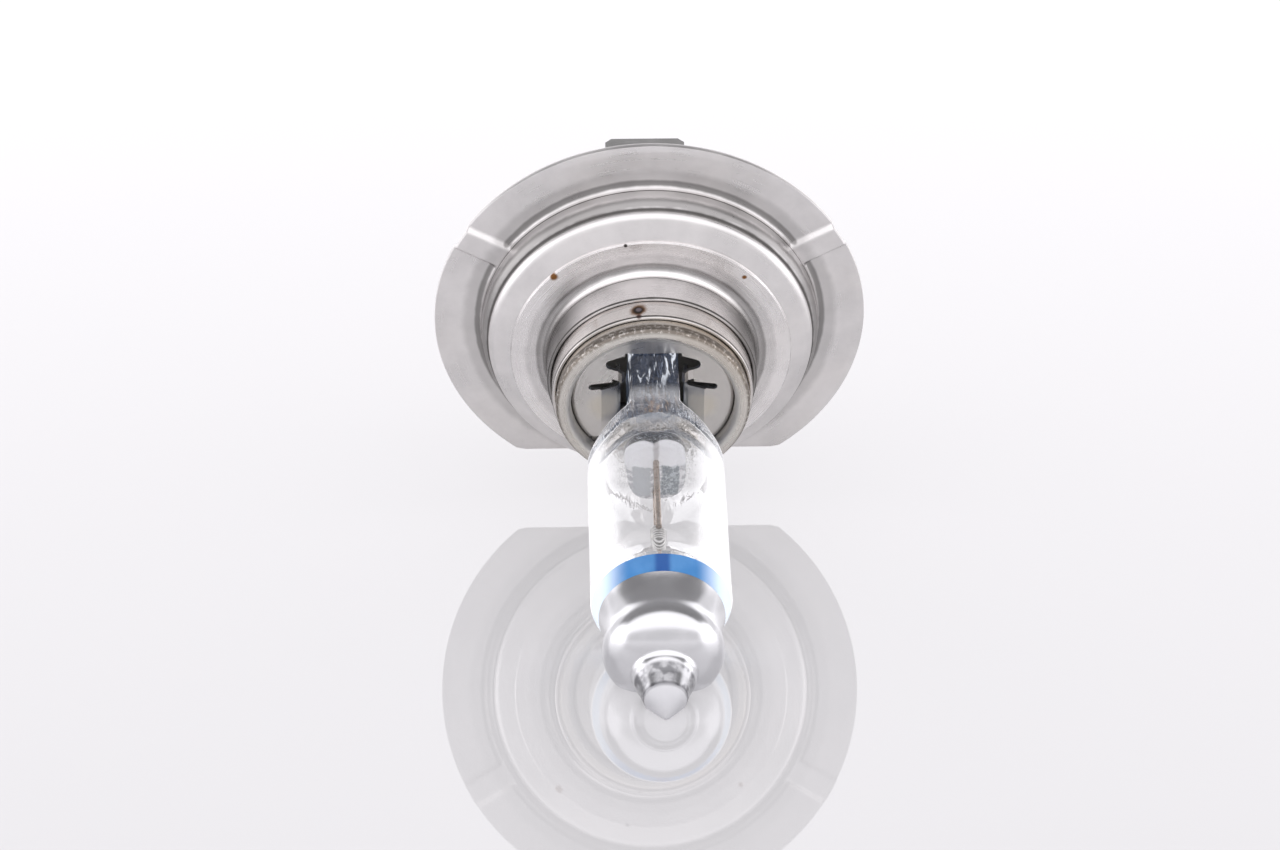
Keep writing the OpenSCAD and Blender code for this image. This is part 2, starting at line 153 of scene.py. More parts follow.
def skin(bm, rings, closed=False, caps=True):
    """Quads between rings of equal length; caps fill the first and last ring."""
    rows = [[bm.verts.new(p) for p in ring] for ring in rings]
    n = len(rows[0])
    pairs = list(zip(rows, rows[1:])) + ([(rows[-1], rows[0])] if closed else [])
    for a, b in pairs:
        for k in range(n):
            m = (k + 1) % n
            bm.faces.new((a[k], b[k], b[m], a[m]))
    if caps and not closed:
        bm.faces.new(rows[0][::-1])
        bm.faces.new(rows[-1])
    return rows


def lathe(name, section, sides=256, sharp=35):
    """Turned piece from a closed section of (radius, z) points."""
    bm = bmesh.new()
    least_r = 1e-4
    rings = []
    for r, z in section:
        r = max(r, least_r)
        rings.append([(r * math.cos(TAU * k / sides), r * math.sin(TAU * k / sides), z)
                      for k in range(sides)])
    skin(bm, rings, closed=True)
    return finish_mesh(name, bm, sharp)


def rounded(path, r, n=8):
    """The path with each corner cut back by r and rounded."""
    out = [path[0]]
    for p, q, s in zip(path, path[1:], path[2:]):
        p, q, s = Vector(p), Vector(q), Vector(s)
        a = q + (p - q).normalized() * r
        b = q + (s - q).normalized() * r
        for k in range(n + 1):
            u = k / n
            out.append(tuple(a * (1 - u) ** 2 + 2 * q * u * (1 - u) + b * u ** 2))
    return out + [path[-1]]


def tube(name, path, d, sides=24):
    """Round wire of diameter d along a path of 3D points in mm."""
    bm = bmesh.new()
    pts = [Vector(p) for p in path]
    rings = []
    across = None
    for i, p in enumerate(pts):
        along = (pts[min(i + 1, len(pts) - 1)] - pts[max(i - 1, 0)]).normalized()
        if across is None:
            across = along.orthogonal().normalized()
        across = (across - along * across.dot(along)).normalized()
        other = along.cross(across)
        rings.append([p + d / 2 * (math.cos(TAU * k / sides) * across + math.sin(TAU * k / sides) * other)
                      for k in range(sides)])
    skin(bm, rings)
    return finish_mesh(name, bm, 50)


def fit(piece, material, slot, *nodes):
    """Gives a piece its material and body, and hides the CAD nodes that it stands for. slot is not used."""
    piece.data.materials.clear()
    piece.data.materials.append(material)
    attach(piece, "root")
    if nodes:
        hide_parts(*nodes)
    return piece


# ---- Node helpers ----

class Shader:
    """A material under construction: adds nodes and links them."""

    def __init__(self, name):
        self.material = bpy.data.materials.new(name)
        self.material.use_nodes = True
        self.nodes = self.material.node_tree.nodes
        self.links = self.material.node_tree.links
        self.bsdf = self.nodes["Principled BSDF"]
        self.output = self.nodes["Material Output"]
        self.coord = self.nodes.new("ShaderNodeTexCoord").outputs["Object"]

    def set(self, **values):
        """Sets inputs of the surface shader."""
        for key, value in values.items():
            self.bsdf.inputs[key.replace("_", " ")].default_value = value

    def node(self, kind, inputs=(), **attributes):
        """Adds a node. Each of its inputs takes a value or a link from a socket."""
        made = self.nodes.new(kind)
        for key, value in attributes.items():
            setattr(made, key, value)
        for key, value in dict(inputs).items():
            if isinstance(value, bpy.types.NodeSocket):
                self.links.new(value, made.inputs[key])
            else:
                made.inputs[key].default_value = value
        return made

    def link(self, socket, key):
        """Links a socket to an input of the surface shader."""
        self.links.new(socket, self.bsdf.inputs[key])

    def math(self, operation, a, b=0.0, clamp=False):
        return self.node("ShaderNodeMath", {0: a, 1: b}, operation=operation, use_clamp=clamp).outputs[0]

    def chain(self, operation, *values):
        """Joins sockets and numbers by one operation, from left to right."""
        result = values[0]
        for value in values[1:]:
            result = self.math(operation, result, value)
        return result

    def times(self, *values):
        return self.chain("MULTIPLY", *values)

    def plus(self, *values):
        return self.chain("ADD", *values)

    def most(self, *values):
        return self.chain("MAXIMUM", *values)

    def absolute(self, value):
        return self.math("ABSOLUTE", value)

    def noise(self, scale, detail=4.0, roughness=0.5, vector=None, distortion=0.0):
        return self.node("ShaderNodeTexNoise", {"Vector": vector or self.coord, "Scale": scale,
                                                "Detail": detail, "Roughness": roughness,
                                                "Distortion": distortion}).outputs["Fac"]

    def remap(self, value, low, high, to_low=0.0, to_high=1.0, smooth=True):
        """Maps low to high onto to_low to to_high, and holds the end values outside."""
        return self.node("ShaderNodeMapRange", {"Value": value, "From Min": low, "From Max": high,
                                                "To Min": to_low, "To Max": to_high},
                         interpolation_type="SMOOTHSTEP" if smooth else "LINEAR").outputs["Result"]

    def mix(self, factor, a, b):
        made = self.nodes.new("ShaderNodeMix")
        made.data_type = "RGBA"
        for key, value in ((0, factor), (6, a), (7, b)):
            if isinstance(value, bpy.types.NodeSocket):
                self.links.new(value, made.inputs[key])
            else:
                made.inputs[key].default_value = value if key == 0 else (*value[:3], 1.0)
        return made.outputs[2]

    def bump(self, height, strength, distance):
        made = self.node("ShaderNodeBump", {"Height": height, "Strength": strength, "Distance": distance})
        self.links.new(made.outputs["Normal"], self.bsdf.inputs["Normal"])
        return made

    def beyond(self, length, start, full):
        """0 up to start and 1 from full on, in mm. The other way round where full is less than start."""
        if start < full:
            return self.remap(length, start * MM, full * MM)
        return self.remap(length, full * MM, start * MM, 1.0, 0.0)

    def zone(self, length, start, full, leave, end):
        """1 between full and leave, in mm, easing to 0 at start and at end."""
        return self.times(self.beyond(length, start, full), self.beyond(length, end, leave))

    def near(self, point, radius):
        """1 at a point of the lamp axis frame, fading to 0 about radius mm from it along a wavy edge."""
        away = self.node("ShaderNodeVectorMath", {0: self.coord, 1: place(*point)}, operation="DISTANCE")
        wobble = self.times(self.noise(1500.0), 0.5 * radius * MM)
        reach = self.plus(away.outputs["Value"], wobble)
        return self.beyond(reach, 1.25 * radius, 0.65 * radius)

    def split(self):
        """x, y and z of the object coordinates, in metres."""
        return self.node("ShaderNodeSeparateXYZ", {"Vector": self.coord}).outputs

    def polar(self):
        """Distance from the lamp axis, angle round it, and distance behind the reference plane."""
        x, y, z = self.split()
        flat = self.node("ShaderNodeCombineXYZ", {0: x, 1: 0.0, 2: z}).outputs[0]
        r = self.node("ShaderNodeVectorMath", {0: flat}, operation="LENGTH").outputs["Value"]
        return r, self.math("ARCTAN2", z, x), y


# ---- Materials ----

RUST = (0.30, 0.14, 0.05)
SOOT = (0.07, 0.06, 0.055)
WELD_CORE = (0.3, 0.26, 0.28)
WELD_TAIL = (0.16, 0.09, 0.08)
# Painted light: lighter, duller patches on the clip's tongues beside the pinch.
PAINTED_LIGHT = (0.85, 0.81, 0.74)
GAP_SHADE = (0.055, 0.05, 0.045)
FLANK_SHADE = (0.10, 0.095, 0.09)


def shade_line_mask(s, r, back, line_r, line_z, half, depth):
    """Painted shade: a dark line along a circle of the given radius and z, half mm to each side of it, with
    an uneven edge.
    """
    out = s.math("SUBTRACT", r, line_r * MM)
    on = s.plus(back, line_z * MM)
    away = s.math("SQRT", s.plus(s.times(out, out), s.times(on, on)))
    uneven = s.times(s.math("SUBTRACT", s.noise(800.0), 0.5), 0.5 * half * MM)
    return s.remap(s.plus(away, uneven), 0.4 * half * MM, half * MM, depth, 0.0)


def pits_and_shade(s, r, back, base, roughness, low, high, stain):
    """Pitted band on the outer side of the cup's roll from z low to high, darkened as painted shade, and a
    pale, dull inner side that is painted light.
    """
    pits = s.remap(s.noise(3200.0, 3.0, 0.7), 0.30, 0.52)
    outer = s.beyond(r, RIM_MID_R + 0.05, RIM_MID_R + 0.3)
    # Painted shade with real pitting: the band darkens towards the stain colour, speckled by the pits.
    band = s.times(s.zone(s.times(back, -1.0), low - 0.1, low + 0.1, high - 0.1, high + 0.1), outer)
    inner = s.beyond(r, RIM_MID_R - 0.05, RIM_MID_R - 0.35)
    base = s.mix(s.times(pits, band, 0.8), base, stain)
    # Painted light: the roll's inner side is lightened.
    base = s.mix(s.times(inner, 0.7), base, (0.92, 0.90, 0.86))
    roughness = s.math("ADD", roughness, s.times(band, 0.15), clamp=True)
    return base, s.math("ADD", roughness, s.times(inner, 0.3), clamp=True)


def steel(name, colour, rough, turned=0.3, grain=0.5, tint=(0.62, 0.55, 0.46), tint_amount=0.15,
          spots=(), shade_lines=(), roll_pits_and_shade=None, flanks=None):
    """Pressed and plated steel, with turning marks round the axis, fine grain and faint stains.

    spots are rust and weld marks, and also patches of painted light: (point, radius, colour). The dark lines
    along circles are painted shade: (radius, z, half width, depth). The band on the cup's roll is pits with
    painted shade: (low z, high z, colour). flanks is painted shade, darkening what lies inside a radius
    where
    it turns to the sides: (radius, |x| where it starts, |x| where it is full, depth).
    """
    s = Shader(name)
    r, angle, back = s.polar()
    rings = s.node("ShaderNodeCombineXYZ", {0: s.times(r, 9000.0), 1: s.times(back, 9000.0),
                                            2: s.times(angle, 0.35)}).outputs[0]
    marks = s.noise(1.0, 3.0, 0.6, rings)
    fine = s.noise(9000.0, 3.0, 0.6)
    cloud = s.noise(260.0, 4.0, 0.55)
    broad = s.noise(70.0, 2.0, 0.5)
    light = tuple(min(c * 1.05, 1.0) for c in colour)
    dark = tuple(c * 0.9 for c in colour)
    base = s.mix(s.remap(cloud, 0.3, 0.7), dark, light)
    base = s.mix(s.times(s.remap(broad, 0.45, 0.75), tint_amount), base, tint)
    roughness = s.plus(s.remap(cloud, 0.3, 0.7, rough * 0.85, rough * 1.15),
                       s.remap(marks, 0.3, 0.7, -0.05, 0.05))
    for point, radius, shade in spots:
        mask = s.near(point, radius)
        base = s.mix(mask, base, shade)
        roughness = s.math("ADD", roughness, s.times(mask, 0.35), clamp=True)
    # Painted shade: dark lines and bands along circles, at edges, gaps and fillets.
    for shade_line in shade_lines:
        base = s.mix(shade_line_mask(s, r, back, *shade_line), base, GAP_SHADE)
    # Pits and painted shade on the cup's roll.
    if roll_pits_and_shade:
        base, roughness = pits_and_shade(s, r, back, base, roughness, *roll_pits_and_shade)
    # Painted shade: darker where the surface turns to the sides.
    if flanks:
        inside, start, full, depth = flanks
        turned_away = s.remap(s.absolute(s.split()[0]), start * MM, full * MM, 0.0, depth)
        base = s.mix(s.times(turned_away, s.beyond(r, inside, inside - 0.15)), base, FLANK_SHADE)
    s.link(base, "Base Color")
    s.link(roughness, "Roughness")
    s.set(Metallic=1.0)
    s.bump(s.plus(s.times(marks, turned), s.times(fine, grain)), 0.25, 0.00002)
    return s.material


def clear_glass(name):
    """Clear tube, smooth ahead and rippled at the seal. At the seal the glass is painted dark as painted
    shade, with pale glowing streaks as painted highlights. Its edges and shoulders are painted white as
    painted reflection of the light tent's sides, and the tube ahead of the seal has a faint painted glow."""
    s = Shader(name)
    s.set(Roughness=0.0, IOR=1.46)
    x, back, up = s.split()
    ahead = s.times(back, -1.0)
    lengthwise = s.node("ShaderNodeCombineXYZ", {0: s.times(x, 2300.0), 1: s.times(back, 380.0),
                                                 2: s.times(up, 900.0)}).outputs[0]
    streak = s.noise(1.0, 3.0, 0.6, lengthwise, 0.8)
    ripple = s.plus(streak, s.noise(620.0, 2.0, 0.5, distortion=0.7))
    # Painted shade: the glass at the seal is darkened, and glint puts painted highlights along the streaks.
    seal = s.beyond(ahead, 15.0, 12.2)
    shade = s.times(seal, s.remap(streak, 0.5, 0.7, 1.0, 0.55))
    glint = s.times(s.beyond(ahead, 15.5, 9.5), s.remap(streak, 0.57, 0.64))
    # Painted reflection: the shoulders and edges turn white and less clear.
    facing = s.node("ShaderNodeLayerWeight", {"Blend": 0.5}).outputs["Facing"]
    shoulder = s.times(s.beyond(s.absolute(x), 1.8, 3.6), s.zone(ahead, 29.0, 31.2, 33.0, 34.0))
    neck = s.times(s.remap(facing, 0.74, 0.88), s.zone(ahead, 10.5, 12.5, 16.5, 18.0))
    edge = s.times(s.remap(facing, 0.46, 0.66), s.beyond(ahead, 16.5, 19.0), 0.75)
    painted_white = s.most(shoulder, neck, edge)
    # Painted glow along the tube.
    tube_glow = s.remap(ahead, 18.5 * MM, 21.5 * MM, 0.0, 0.045)
    glint_colour = s.mix(glint, (0.016, 0.02, 0.03), (0.80, 0.84, 0.92))
    s.link(s.mix(shade, (0.995, 0.997, 1.0), (0.035, 0.045, 0.075)), "Base Color")
    s.link(s.remap(painted_white, 0.0, 1.0, 1.0, 0.15, False), "Transmission Weight")
    s.link(s.mix(seal, (1.0, 0.99, 1.01), glint_colour), "Emission Color")
    s.link(s.plus(s.times(painted_white, 0.32), s.times(seal, 0.8), tube_glow), "Emission Strength")
    s.bump(s.times(ripple, s.beyond(ahead, 18.0, 13.5)), 0.8, 0.0004)
    return s.material


def seal_end(name):
    """Melted end of the seal: crumpled glass round it, painted dark as painted shade, with pale veins, and
    on its face two milky lobes with a faint painted glow, above two grey metal patches, split along the
    middle."""
    s = Shader(name)
    x, back, up = s.split()
    ahead = s.times(back, -1.0)
    speck = s.noise(4200.0, 3.0, 0.7)
    wobble = s.times(s.math("SUBTRACT", s.noise(900.0, 3.0, 0.6), 0.5), 0.0012)
    on_right = s.remap(x, -0.5 * MM, 0.5 * MM)
    side = s.absolute(s.plus(x, s.times(wobble, 0.35)))
    high = s.plus(up, s.plus(wobble, s.times(on_right, -0.0002)))
    face = s.beyond(ahead, SEAL_FRONT - 0.5, SEAL_FRONT - 0.25)
    milk = s.beyond(high, 0.25, 0.5)
    patch = s.times(s.zone(side, 0.35, 0.5, 1.7, 1.85), s.beyond(high, -2.6, -2.4))
    split = s.beyond(side, 0.3, 0.08)
    speckled = s.mix(s.remap(speck, 0.45, 0.62), (0.17, 0.20, 0.23), (0.50, 0.54, 0.58))
    grey = s.mix(on_right, (0.52, 0.54, 0.57), speckled)
    clear = s.mix(s.remap(s.noise(2400.0, 2.0, 0.6), 0.45, 0.6), (0.50, 0.50, 0.53), (0.93, 0.93, 0.95))
    front = s.mix(milk, s.mix(patch, clear, grey), (0.86, 0.86, 0.90))
    front = s.mix(s.times(split, s.remap(milk, 0.0, 1.0, 0.75, 0.4)), front, (0.16, 0.12, 0.11))
    veins = s.absolute(s.math("SUBTRACT", s.noise(1300.0, 4.0, 0.6, distortion=1.4), 0.5))
    # Painted shade: the crumpled glass round the face is painted dark.
    crumpled = s.mix(s.remap(veins, 0.0, 0.035, 0.75, 0.0), (0.035, 0.042, 0.055), (0.75, 0.78, 0.84))
    s.link(s.mix(face, crumpled, front), "Base Color")
    s.set(Roughness=0.2, Coat_Weight=0.4, Coat_Roughness=0.05, Emission_Color=(1.0, 1.0, 1.0, 1.0))
    # Painted glow on the milky lobes.
    s.link(s.times(milk, face, s.remap(split, 0.0, 1.0, 1.0, 0.0), 0.07), "Emission Strength")
    s.bump(s.plus(s.noise(1500.0, 3.0, 0.6, distortion=0.8), speck), 0.6, 0.0002)
    return s.material


def blue_coat(name):
    """Thin blue film, paler and glowing towards the sides as painted light, and darkest blue on top, over
    the coil.
    """
    s = Shader(name)
    x, _, up = s.split()
    # Painted light: paler colour and a glow towards the sides.
    lit_sides = s.beyond(s.absolute(x), 2.3, 4.6)
    cloud = s.mix(s.remap(s.noise(900.0), 0.3, 0.7), (0.10, 0.33, 0.72), (0.13, 0.38, 0.78))
    core = s.times(s.beyond(s.absolute(x), 0.75, 0.3), s.beyond(up, 0.0, 1.0))
    cloud = s.mix(s.times(core, 0.8), cloud, (0.02, 0.10, 0.42))
    s.link(s.mix(lit_sides, cloud, (0.72, 0.85, 0.97)), "Base Color")
    s.set(Roughness=0.12, IOR=1.3, Transmission_Weight=0.25, Emission_Color=(1.0, 1.0, 1.0, 1.0))
    s.link(s.times(lit_sides, 0.25), "Emission Strength")
    return s.material


def mirror_coat(name):
    """Silver coating, dull on the tip's cone, with a line of painted shade at the neck and the nipple behind
    it darkened as painted shade.
    """
    s = Shader(name)
    cloud = s.noise(420.0, 4.0, 0.55)
    fine = s.noise(6000.0, 2.0, 0.5)
    ahead = s.times(s.split()[1], -1.0)
    cone = s.beyond(ahead, NECK_Z - 0.1, NECK_Z + 0.1)
    # Painted shade: a dark line at the neck, and the nipple behind it darkened in mottled patches.
    crease_shade = s.zone(ahead, NECK_Z - 0.35, NECK_Z - 0.1, NECK_Z - 0.05, NECK_Z + 0.15)
    nipple = s.zone(ahead, NECK_Z - 1.85, NECK_Z - 1.55, NECK_Z - 0.2, NECK_Z)
    mottle = s.remap(s.noise(1100.0, 2.0), 0.4, 0.62, 0.85, 0.4)
    base = s.mix(s.remap(cloud, 0.3, 0.7), (0.70, 0.70, 0.72), (0.76, 0.76, 0.78))
    base = s.mix(s.times(nipple, mottle), base, (0.13, 0.13, 0.14))
    s.link(s.mix(s.times(crease_shade, 0.7), base, (0.12, 0.12, 0.13)), "Base Color")
    s.link(s.plus(s.remap(cloud, 0.3, 0.7, 0.17, 0.24), s.times(cone, 0.4)), "Roughness")
    s.set(Metallic=1.0)
    s.bump(fine, 0.12, 0.00002)
    return s.material


def wire_metal(name, colour, rough, stain):
    """Drawn wire or foil, with a stain in patches."""
    s = Shader(name)
    cloud = s.noise(1800.0, 4.0, 0.6)
    s.link(s.mix(s.remap(cloud, 0.35, 0.7), colour, stain), "Base Color")
    s.link(s.remap(cloud, 0.3, 0.7, rough * 0.8, rough * 1.2), "Roughness")
    s.set(Metallic=1.0)
    s.bump(s.noise(12000.0), 0.2, 0.00001)
    return s.material


def moulding(name, colour):
    """Filled plastic, slightly cloudy, with dark specks."""
    s = Shader(name)
    cloud = s.noise(160.0, 4.0, 0.6)
    speck = s.noise(5200.0, 2.0, 0.6)
    base = s.mix(s.remap(cloud, 0.3, 0.7), tuple(c * 0.93 for c in colour), colour)
    base = s.mix(s.times(s.remap(speck, 0.66, 0.74), 0.35), base, tuple(c * 0.6 for c in colour))
    s.link(base, "Base Color")
    s.link(s.remap(cloud, 0.3, 0.7, 0.42, 0.56), "Roughness")
    s.set(Specular_IOR_Level=0.4)
    s.bump(s.plus(speck, s.noise(900.0)), 0.22, 0.00004)
    return s.material


# The flange's dark lines are painted shade.
flange_metal = steel(
    "flange_metal", (0.82, 0.80, 0.795), 0.34, turned=0.12, tint_amount=0.12,
    shade_lines=((12.8, 1.35, 0.62, 0.6), (13.35, -0.4, 0.34, 0.6), (13.75, FACE_Z, 1.0, 0.22),
           (RING_R, 0.08, 0.07, 0.8), (12.5, 1.84, 0.3, 0.6), (12.54, 1.79, 0.1, 0.6),
           (DISC_R + 0.02, LEDGE_Z, 0.1, 0.9)))
# The collar's flanks and its dark lines are painted shade; its spots are rust and soot.
collar_metal = steel(
    "collar_metal", (0.90, 0.875, 0.87), 0.28, turned=0.15, flanks=(8.4, 4.6, 7.2, 0.75),
    spots=(((-7.4, 7.6, DISC_Z), 0.42, RUST), ((7.0, 7.4, DISC_Z), 0.26, RUST),
           ((-2.0, 10.5, DISC_Z), 0.2, SOOT)),
    shade_lines=((DISC_R, DISC_Z, 0.08, 0.9), (TUBE_R, DISC_Z + 0.7, 0.07, 0.7), (8.55, DISC_Z, 0.42, 0.55),
           (9.1, DISC_Z, 0.8, 0.2), (TUBE_R, COLLAR_FRONT - 0.08, 0.13, 0.95)))
# The sleeve's two dark lines are painted shade; its spots are rust and weld marks.
sleeve_metal = steel(
    "sleeve_metal", (0.76, 0.73, 0.71), 0.24, turned=0.2,
    spots=(((-1.15, 7.55, 7.7), 0.8, RUST), ((-1.15, 7.55, 7.7), 0.62, SOOT),
           ((-1.1, 7.55, 7.65), 0.3, WELD_CORE), ((-1.1, 7.6, 8.45), 0.3, WELD_TAIL)),
    shade_lines=((SLEEVE_R, 8.5, 0.12, 0.95), (SLEEVE_R, 8.95, 0.12, 0.9)))
# The cup roll's dark band is pits with painted shade, and its pale inner side is painted light.
cup_metal = steel("cup_metal", (0.70, 0.67, 0.63), 0.27, tint_amount=0.35, tint=(0.50, 0.40, 0.28),
                  roll_pits_and_shade=(9.1, 10.02, (0.10, 0.075, 0.055)))
# The clip's two spots are painted light on its tongues.
clip_metal = steel("clip_metal", (0.64, 0.62, 0.60), 0.32, turned=0.1,
                   spots=tuple(((side * 3.6, -0.7, 9.0), 1.7, PAINTED_LIGHT) for side in (-1, 1)))
shell_metal = steel("shell_metal", (0.66, 0.65, 0.64), 0.28)
blade_metal = steel("blade_metal", (0.68, 0.68, 0.675), 0.34, turned=0.0)
lead_metal = wire_metal("lead_metal", (0.50, 0.42, 0.36), 0.25, (0.26, 0.18, 0.13))
coil_metal = wire_metal("coil_metal", (0.62, 0.61, 0.60), 0.38, (0.45, 0.44, 0.43))
glass = clear_glass("glass")
seal_glass = seal_end("seal_glass")
blue = blue_coat("blue")
silver = mirror_coat("silver")
body_moulding = moulding("body_moulding", (0.72, 0.68, 0.59))


# ---- Flange ----

WALL_TURN_R, WALL_TOP_Z, WALL_TURN = 1.6, 0.7, 42
SHOULDER_R, LEDGE_TURN_R, ROOT_R = 0.9, 0.8, 0.6
STEP_R = RING_R - WALL_TURN_R * (1 - math.cos(math.radians(WALL_TURN))) - 0.1
STEP_Z = WALL_TOP_Z + WALL_TURN_R * math.sin(math.radians(WALL_TURN)) + 0.05


def rim_outline():
    """Outline of the rim as (angle, radius) in the lamp axis frame, anticlockwise from +x."""
    corner = math.degrees(math.asin(FLAT / RIM_R))
    pts = [(RIM_R * math.cos(math.radians(a / 2)), RIM_R * math.sin(math.radians(a / 2)))
           for a in range(int(-2 * corner) + 1, int(360 + 2 * corner))]
    half = TAB_W / 2
    bottom = math.sqrt(RIM_R ** 2 - half ** 2)
    left = [(-x, -FLAT) for x in (9.8, 8.5, 7.0, 5.5, 4.2, 3.2, half + 0.25)]
    left += arc((-half - 0.2, -FLAT - 0.2), 0.2, 90, 0, 4)
    left += arc((-half + TAB_CORNER, -bottom + TAB_CORNER), TAB_CORNER, 180, 258, 6)
    tab = [(RIM_R * math.sin(math.radians(a)), -RIM_R * math.cos(math.radians(a)))
           for a in [k / 2 for k in range(-9, 10)]]
    right = [(-x, y) for x, y in left[::-1]]
    ring = [p for p in pts if p[1] > -FLAT + 0.02] + left + tab + right
    polar = sorted((math.degrees(math.atan2(y, x)) % 360, math.hypot(x, y)) for x, y in ring)
    out = []
    for a, r in polar:
        if not out or a - out[-1][0] > 0.04:
            out.append((a, r))
    return out


def boss_height(angle, r):
    """Share of a boss's height, 0 to 1, at a polar place on the rim."""
    share = 0.0
    for a in BOSS_ANGLES:
        turn = (angle - a + 180) % 360 - 180
        if abs(turn) < 40:
            across = abs(r * math.sin(math.radians(turn)))
            u = min(max((BOSS_W / 2 + BOSS_H - across) / BOSS_H, 0.0), 1.0)
            share = max(share, u * u * (3 - 2 * u))
    return share


def flange():
    """Pressed sheet, swept round the axis: rim with its flat, tab and bosses, ring, step and ledge."""
    wall = arc((RING_R - WALL_TURN_R, WALL_TOP_Z), WALL_TURN_R, 0, WALL_TURN, 12)
    lead, turn = math.radians(8), math.radians(65)
    centre = (STEP_R - SHOULDER_R * math.cos(lead), STEP_Z + 0.2 - SHOULDER_R * math.sin(lead))
    end = (centre[0] + SHOULDER_R * math.cos(turn), centre[1] + SHOULDER_R * math.sin(turn))
    top_z = LEDGE_Z - LEDGE_TURN_R * (1 - math.sin(turn))
    top_x = end[0] - (top_z - end[1]) * math.tan(turn)
    inner = (wall + [(STEP_R, STEP_Z)] + arc(centre, SHOULDER_R, 8, 65, 14)
             + arc((top_x - LEDGE_TURN_R * math.cos(turn), LEDGE_Z - LEDGE_TURN_R), LEDGE_TURN_R, 65, 90, 6)
             + [(LEDGE_BORE_R, LEDGE_Z)])
    outline = dict(rim_outline())
    angles = sorted(set(outline) | {a + k * 0.2 for a in (30, 150) for k in range(-45, 46)})
    known = sorted(outline.items())

    def rim_at(angle):
        if angle in outline:
            return outline[angle]
        below = max(p for p in known if p[0] <= angle)
        above = min(p for p in known if p[0] > angle)
        u = (angle - below[0]) / (above[0] - below[0])
        return below[1] + u * (above[1] - below[1])

    bm = bmesh.new()
    rings = []
    for angle in angles:
        rim = rim_at(angle)
        root = min(ROOT_R, 0.6 * (rim - RING_R))
        lip = min(0.1, 0.3 * (rim - RING_R))
        out = [(rim - lip, FACE_Z), (rim - 0.3 * lip, FACE_Z - 0.02), (rim, FACE_Z - 0.09)]
        flat = [(RING_R + root + (rim - lip - RING_R - root) * k / 6, FACE_Z) for k in range(6, -1, -1)]
        foot = arc((RING_R + root, FACE_Z + root), root, 270, 180, 6)
        path = [out[0]] + flat[1:] + foot[1:] + [(RING_R, 0.15), (RING_R, 0.4)] + inner
        back = mitres(path)
        closed = out[::-1] + path[1:]
        rear = [(p[0] + FLANGE_T * m[0], p[1] + FLANGE_T * m[1]) for p, m in zip(path, back)][1:]
        closed += rear[::-1]
        closed += [(rim - lip, FACE_Z - FLANGE_T), (rim - 0.3 * lip, FACE_Z - FLANGE_T + 0.02),
                   (rim, FACE_Z - FLANGE_T + 0.09)]
        ring = []
        for r, z in closed:
            share = boss_height(angle, max(r, RING_R)) if r > RING_R - 1 else 0.0
            if z < 0 and r > RING_R - 0.001:
                lift = BOSS_H * share if z <= FACE_Z else -z * share
                if z <= FACE_Z and r < RING_R + ROOT_R + 0.3:
                    lift *= 1.0 if z > FACE_Z - 0.1 else max(0.0, (r - RING_R) / (ROOT_R + 0.3))
                z += lift
            a = math.radians(angle)
            ring.append((r * math.cos(a), r * math.sin(a), z))
        rings.append(ring)
    skin(bm, rings, closed=True)
    piece = finish_mesh("flange", bm, 30)
    return fit(piece, flange_metal, "flange_steel", "base_flange")


# ---- Adjusting rings ----

def adjusting_rings():
    """Hat-shaped collar on the ledge, and the sleeve inside it."""
    foot_r = 0.7
    foot = arc((TUBE_R + foot_r, DISC_Z + foot_r), foot_r, 270, 180, 14)
    path = [(DISC_R, DISC_Z)] + foot + [(TUBE_R, COLLAR_FRONT)]
    fit(lathe("collar", sheet(path, SHEET_T)), collar_metal, "sleeve_steel", "focus_collar")
    path = [(SLEEVE_R, SLEEVE_BACK), (SLEEVE_R, SLEEVE_FRONT)]
    fit(lathe("sleeve", sheet(path, SHEET_T)), sleeve_metal, "sleeve_steel", "focus_sleeve")


# ---- Clamp ----
def cup():
    """Drawn cup with its front rim rolled over."""
    rim_z = RIM_FRONT - RIM_ROLL_R
    path = ([(CUP_R, CUP_BACK), (CUP_R, rim_z - 0.55)]
            + arc((RIM_MID_R, rim_z), RIM_ROLL_R, -20, 180, 32)
            + [(RIM_MID_R - RIM_ROLL_R, rim_z - 0.75)])
    fit(lathe("cup", sheet(path, CUP_T)), cup_metal, "clamp_steel", "clamp_cup")


# ---- Glass burner ----

PINCH_T, PINCH_W, PINCH_REAR, PINCH_FRONT, TUBE_START = 4.2, 8.7, 2.0, 13.6, 17.0
DOME_START, WAIST_R, WAIST_Z, BULB_R, BULB_Z, BULB_LEN = 31.7, 4.18, 35.5, 4.32, 36.7, 2.9
BLUE_START, MIRROR_START, COAT_T = 32.0, 33.3, 0.04
NIPPLE_R, NECK_R, TIP_R = 2.35, 1.5, 0.16
CAVITY_R, CAVITY_BACK, CAVITY_MID, CAVITY_TURN, CAVITY_FRONT = 4.15, 15.0, 19.5, 31.0, 38.4
SEAL_X, SEAL_Y = 2.35, 3.1
NIPPLE_Z = BULB_Z + BULB_LEN * math.sqrt(1 - (NIPPLE_R / BULB_R) ** 2)


def ease(u):
    """Smooth step from 0 to 1."""
    u = min(max(u, 0.0), 1.0)
    return u * u * (3 - 2 * u)


def dome_r(z):
    """Outside of the dome: a shoulder down to the waist, then the bulb."""
    if z < WAIST_Z:
        u = min(max((z - DOME_START) / (WAIST_Z - DOME_START), 0.0), 1.0)
        return WAIST_R + (GLASS_R - WAIST_R) * (1 - u) ** 2
    if z < BULB_Z:
        return WAIST_R + (BULB_R - WAIST_R) * ease((z - WAIST_Z) / (BULB_Z - WAIST_Z))
    return BULB_R * math.sqrt(1 - ((z - BULB_Z) / BULB_LEN) ** 2)


